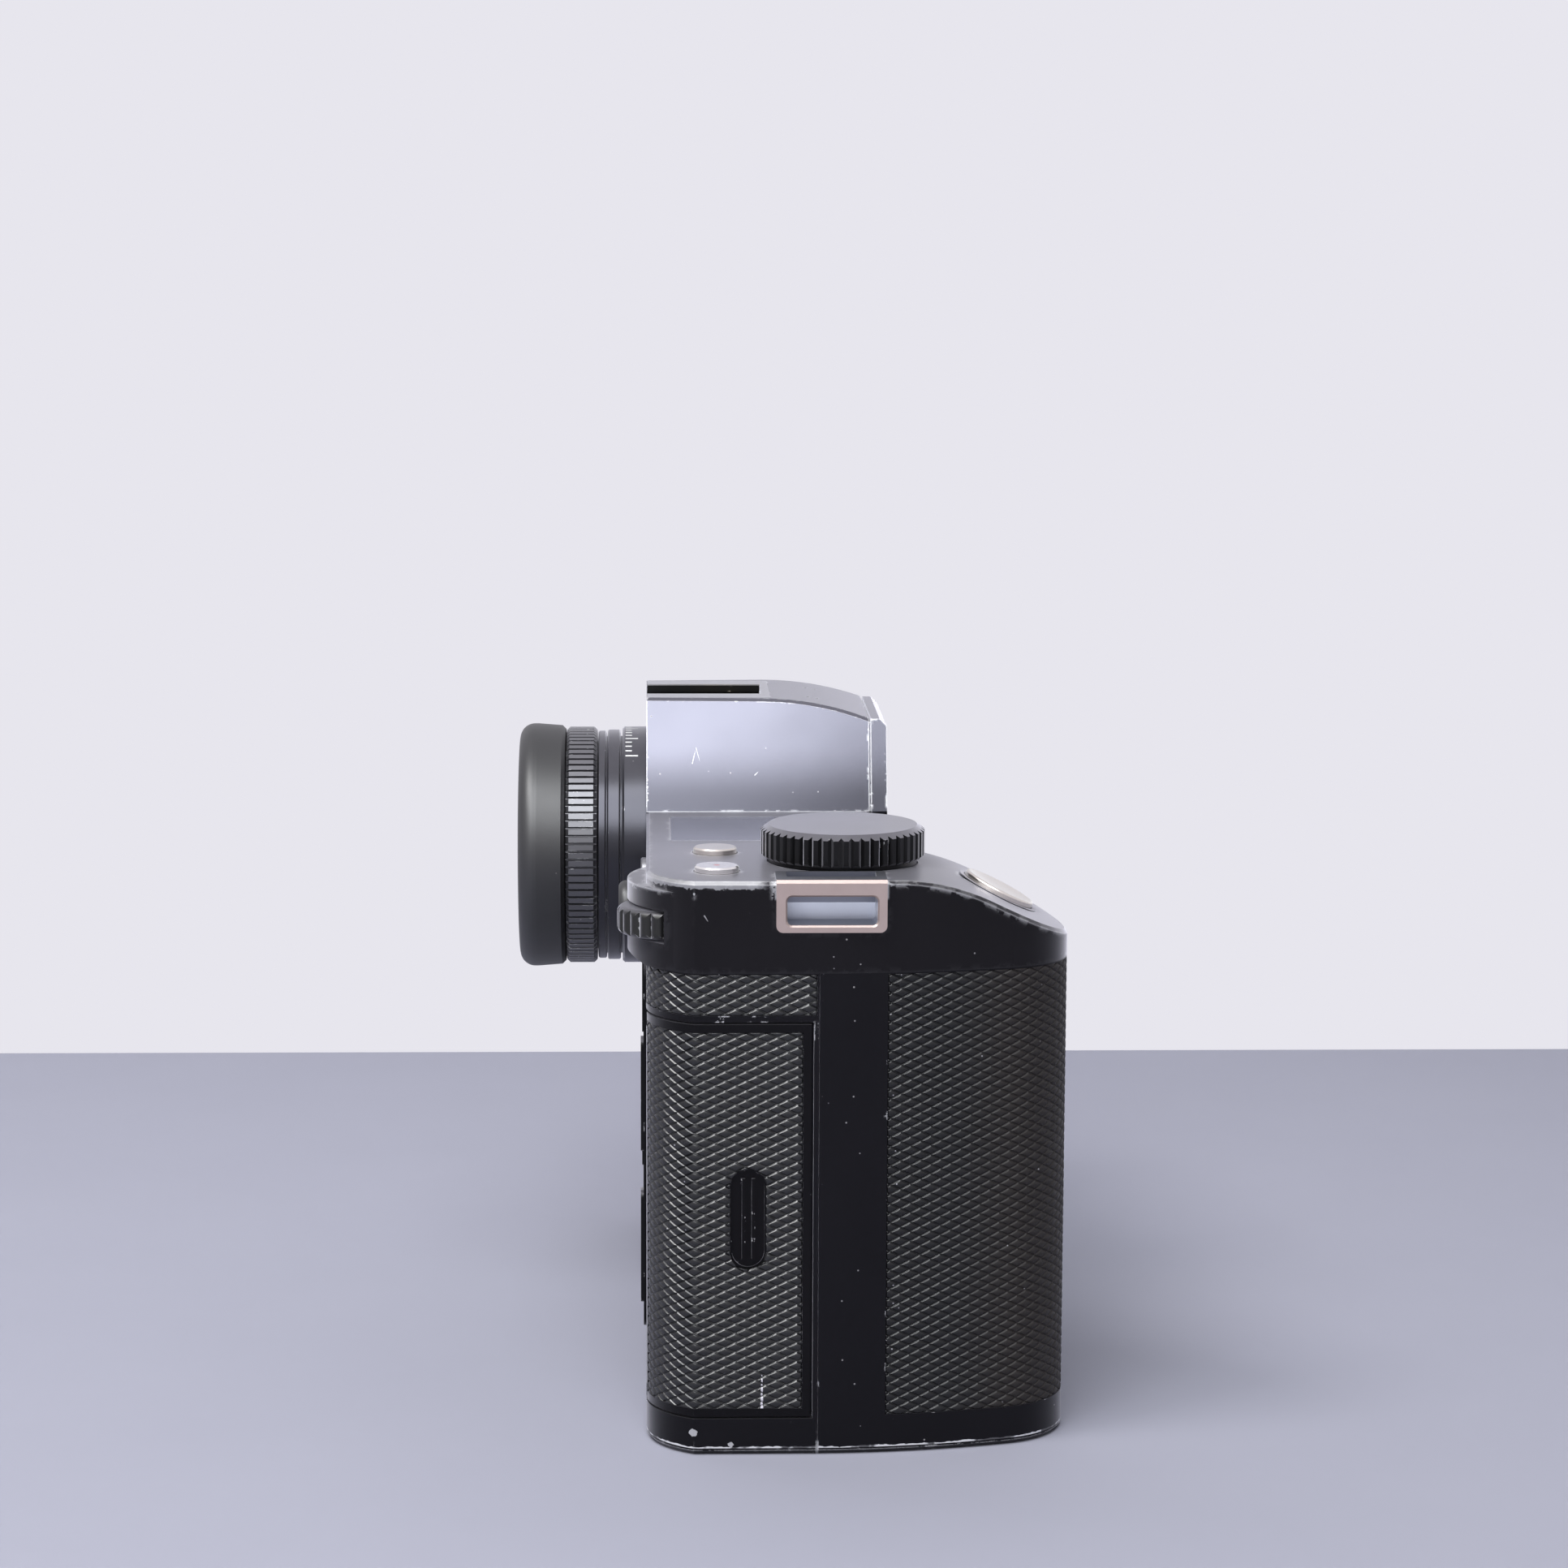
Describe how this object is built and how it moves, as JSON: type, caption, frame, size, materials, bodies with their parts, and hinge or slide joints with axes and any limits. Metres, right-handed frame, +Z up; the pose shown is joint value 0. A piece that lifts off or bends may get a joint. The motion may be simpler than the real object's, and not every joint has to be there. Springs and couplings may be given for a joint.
{
  "type": "mirrorless camera",
  "caption": "Mirrorless camera body with deep grip, viewfinder hump with hot shoe, knurled eyepiece, top dial, card door and open bayonet lens mount.",
  "frame": {"origin": "mouth of the tripod socket in the base, under the lens axis", "axes": "+X from the grip end to the far end, +Y from the front to the rear, +Z up; the lens looks along -Y"},
  "size_m": [0.1475, 0.0841, 0.104],
  "materials": {
    "black_metal": "satin black anodised and painted metal, silver where worn",
    "leather": "black leather-like rubber with a fine diamond grain",
    "black_rubber": "matt black rubber",
    "black_plastic": "matt black plastic",
    "satin_steel": "satin stainless steel",
    "bright_metal": "polished metal",
    "dark_glass": "coated dark glass",
    "clear_glass": "coated lens glass",
    "gold_contacts": "gold-plated contacts in black plastic",
    "circuit": "green circuit board",
    "cell_case": "black battery case"
  },
  "bodies": {
    "camera_body": {"base_plate": "black_metal", "battery_chamber": "black_plastic", "card_sockets": "black_plastic", "connector_panel": "black_plastic", "end_leather": "leather", "eyecup": "black_rubber", "eyepiece_barrel": "black_metal", "eyepiece_tube": "black_metal", "far_leather": "leather", "focus_lamp": "clear_glass", "front_shell": "black_metal", "grip_leather": "leather", "hot_shoe": "satin_steel", "hump_front_plate": "black_metal", "lens_contacts": "gold_contacts", "lens_mount_ring": "satin_steel", "light_chamber": "black_plastic", "main_board": "circuit", "mount_screws": "satin_steel", "rear_display": "dark_glass", "rear_panel": "black_metal", "rear_shell": "black_metal", "sensor_block": "black_metal", "sensor_glass": "clear_glass", "shoe_contacts": "gold_contacts", "shutter_collar": "black_metal", "shutter_frame": "black_plastic", "strap_lugs": "satin_steel", "thumb_wheel_axle": "satin_steel", "top_display": "dark_glass", "top_plate": "black_metal", "tripod_socket": "satin_steel", "viewfinder_cover": "black_metal", "viewfinder_module": "black_plastic"},
    "card_door_slide": {"card_door_slide": "satin_steel"},
    "card_door": {"card_door": "black_metal", "card_door_leather": "leather"},
    "thumb_wheel": {"thumb_wheel": "black_metal"},
    "thumb_stick_plunger": {"thumb_stick_plunger": "black_plastic"},
    "thumb_stick_gimbal": {"thumb_stick_gimbal": "satin_steel"},
    "thumb_stick": {"thumb_stick": "black_rubber"},
    "top_dial": {"top_dial": "black_metal"},
    "top_function_button": {"top_function_button": "bright_metal"},
    "video_button": {"video_button": "bright_metal"},
    "shutter_button": {"shutter_button": "bright_metal"},
    "dioptre_ring": {"dioptre_ring": "black_metal"},
    "eyepiece_lens_cell": {"eyepiece_lens_cell": "black_metal", "eyepiece_lens": "clear_glass"},
    "right_upper_bar_button": {"right_upper_bar_button": "satin_steel"},
    "right_lower_bar_button": {"right_lower_bar_button": "satin_steel"},
    "left_upper_bar_button": {"left_upper_bar_button": "satin_steel"},
    "left_lower_bar_button": {"left_lower_bar_button": "satin_steel"},
    "eyepiece_button": {"eyepiece_button": "black_metal"},
    "power_lever": {"power_lever": "black_metal"},
    "lens_lock_pin": {"lens_lock_pin": "satin_steel"},
    "lens_release_button": {"lens_release_button": "satin_steel"},
    "lower_port_door": {"lower_port_door": "black_rubber"},
    "upper_port_door": {"upper_port_door": "black_rubber"},
    "battery": {"battery": "cell_case"},
    "battery_catch": {"battery_catch": "satin_steel"}
  },
  "joints": [
    {"name": "card_door_slide", "type": "slide", "parent": "camera_body", "child": "card_door_slide", "axis": [0, 1, 0], "range_m": [0, 0.003]},
    {"name": "card_door_swing", "type": "hinge", "parent": "card_door_slide", "child": "card_door", "pos_m": [-0.0752, 0.0144, 0.035], "axis": [0, 0, -1], "range_deg": [0, 100]},
    {"name": "thumb_wheel_turn", "type": "hinge", "parent": "camera_body", "child": "thumb_wheel", "pos_m": [-0.0745, 0.0124, 0.079], "axis": [0, 0, 1], "continuous": true},
    {"name": "top_dial_turn", "type": "hinge", "parent": "camera_body", "child": "top_dial", "pos_m": [-0.06635, -0.0135, 0.088], "axis": [0, 0, 1], "continuous": true},
    {"name": "thumb_stick_press", "type": "slide", "parent": "camera_body", "child": "thumb_stick_plunger", "axis": [0, -1, 0], "range_m": [0, 0.0005], "stiffness_N_per_m": 1500, "springref_m": -0.0005},
    {"name": "thumb_stick_up_down", "type": "hinge", "parent": "thumb_stick_plunger", "child": "thumb_stick_gimbal", "pos_m": [-0.056, 0.015, 0.0779], "axis": [1, 0, 0], "range_deg": [-8, 8], "stiffness_Nm_per_rad": 0.01},
    {"name": "thumb_stick_left_right", "type": "hinge", "parent": "thumb_stick_gimbal", "child": "thumb_stick", "pos_m": [-0.056, 0.015, 0.0779], "axis": [0, 0, 1], "range_deg": [-8, 8], "stiffness_Nm_per_rad": 0.01},
    {"name": "top_function_button_press", "type": "slide", "parent": "camera_body", "child": "top_function_button", "axis": [0, 0, -1], "range_m": [0, 0.0006], "stiffness_N_per_m": 800, "springref_m": -0.0006},
    {"name": "video_button_press", "type": "slide", "parent": "camera_body", "child": "video_button", "axis": [0, 0, -1], "range_m": [0, 0.0006], "stiffness_N_per_m": 800, "springref_m": -0.0006},
    {"name": "shutter_button_press", "type": "slide", "parent": "camera_body", "child": "shutter_button", "axis": [0, 0.454, -0.891], "range_m": [0, 0.0009], "stiffness_N_per_m": 800, "springref_m": -0.0009},
    {"name": "dioptre_ring_turn", "type": "hinge", "parent": "camera_body", "child": "dioptre_ring", "pos_m": [0, 0.0265, 0.078], "axis": [0, 1, 0], "range_deg": [-75, 75]},
    {"name": "eyepiece_lens_focus", "type": "slide", "parent": "camera_body", "child": "eyepiece_lens_cell", "axis": [0, 1, 0], "range_m": [-0.0009, 0.0009]},
    {"name": "right_upper_bar_press", "type": "slide", "parent": "camera_body", "child": "right_upper_bar_button", "axis": [0, -1, 0], "range_m": [0, 0.0005], "stiffness_N_per_m": 800, "springref_m": -0.0005},
    {"name": "right_lower_bar_press", "type": "slide", "parent": "camera_body", "child": "right_lower_bar_button", "axis": [0, -1, 0], "range_m": [0, 0.0005], "stiffness_N_per_m": 800, "springref_m": -0.0005},
    {"name": "left_upper_bar_press", "type": "slide", "parent": "camera_body", "child": "left_upper_bar_button", "axis": [0, -1, 0], "range_m": [0, 0.0005], "stiffness_N_per_m": 800, "springref_m": -0.0005},
    {"name": "left_lower_bar_press", "type": "slide", "parent": "camera_body", "child": "left_lower_bar_button", "axis": [0, -1, 0], "range_m": [0, 0.0005], "stiffness_N_per_m": 800, "springref_m": -0.0005},
    {"name": "eyepiece_button_press", "type": "slide", "parent": "camera_body", "child": "eyepiece_button", "axis": [0, -1, 0], "range_m": [0, 0.0005], "stiffness_N_per_m": 800, "springref_m": -0.0005},
    {"name": "power_lever_turn", "type": "hinge", "parent": "camera_body", "child": "power_lever", "pos_m": [0.0485, 0.0173, 0.0794], "axis": [0, 1, 0], "range_deg": [0, 38]},
    {"name": "lens_release_press", "type": "slide", "parent": "camera_body", "child": "lens_release_button", "axis": [0, 1, 0], "range_m": [0, 0.0016], "stiffness_N_per_m": 700, "springref_m": -0.0016},
    {"name": "lens_lock_pin_slide", "type": "slide", "parent": "camera_body", "child": "lens_lock_pin", "axis": [0, 1, 0], "range_m": [0, 0.00145]},
    {"name": "lower_port_door_swing", "type": "hinge", "parent": "camera_body", "child": "lower_port_door", "pos_m": [0.0594, 0.0054, 0.0235], "axis": [0, 0, 1], "range_deg": [0, 95]},
    {"name": "upper_port_door_swing", "type": "hinge", "parent": "camera_body", "child": "upper_port_door", "pos_m": [0.0594, 0.0054, 0.051], "axis": [0, 0, 1], "range_deg": [0, 95]},
    {"name": "battery_slide", "type": "slide", "parent": "camera_body", "child": "battery", "axis": [0, 0, -1], "range_m": [0, 0.062]},
    {"name": "battery_catch_slide", "type": "slide", "parent": "camera_body", "child": "battery_catch", "axis": [0, -1, 0], "range_m": [0, 0.004], "stiffness_N_per_m": 120, "springref_m": -0.004}
  ],
  "couplings": [
    {"joint": "eyepiece_lens_focus", "follows": "dioptre_ring_turn", "m_per_rad": 0.000687},
    {"joint": "lens_lock_pin_slide", "follows": "lens_release_press", "ratio": 0.9}
  ]
}
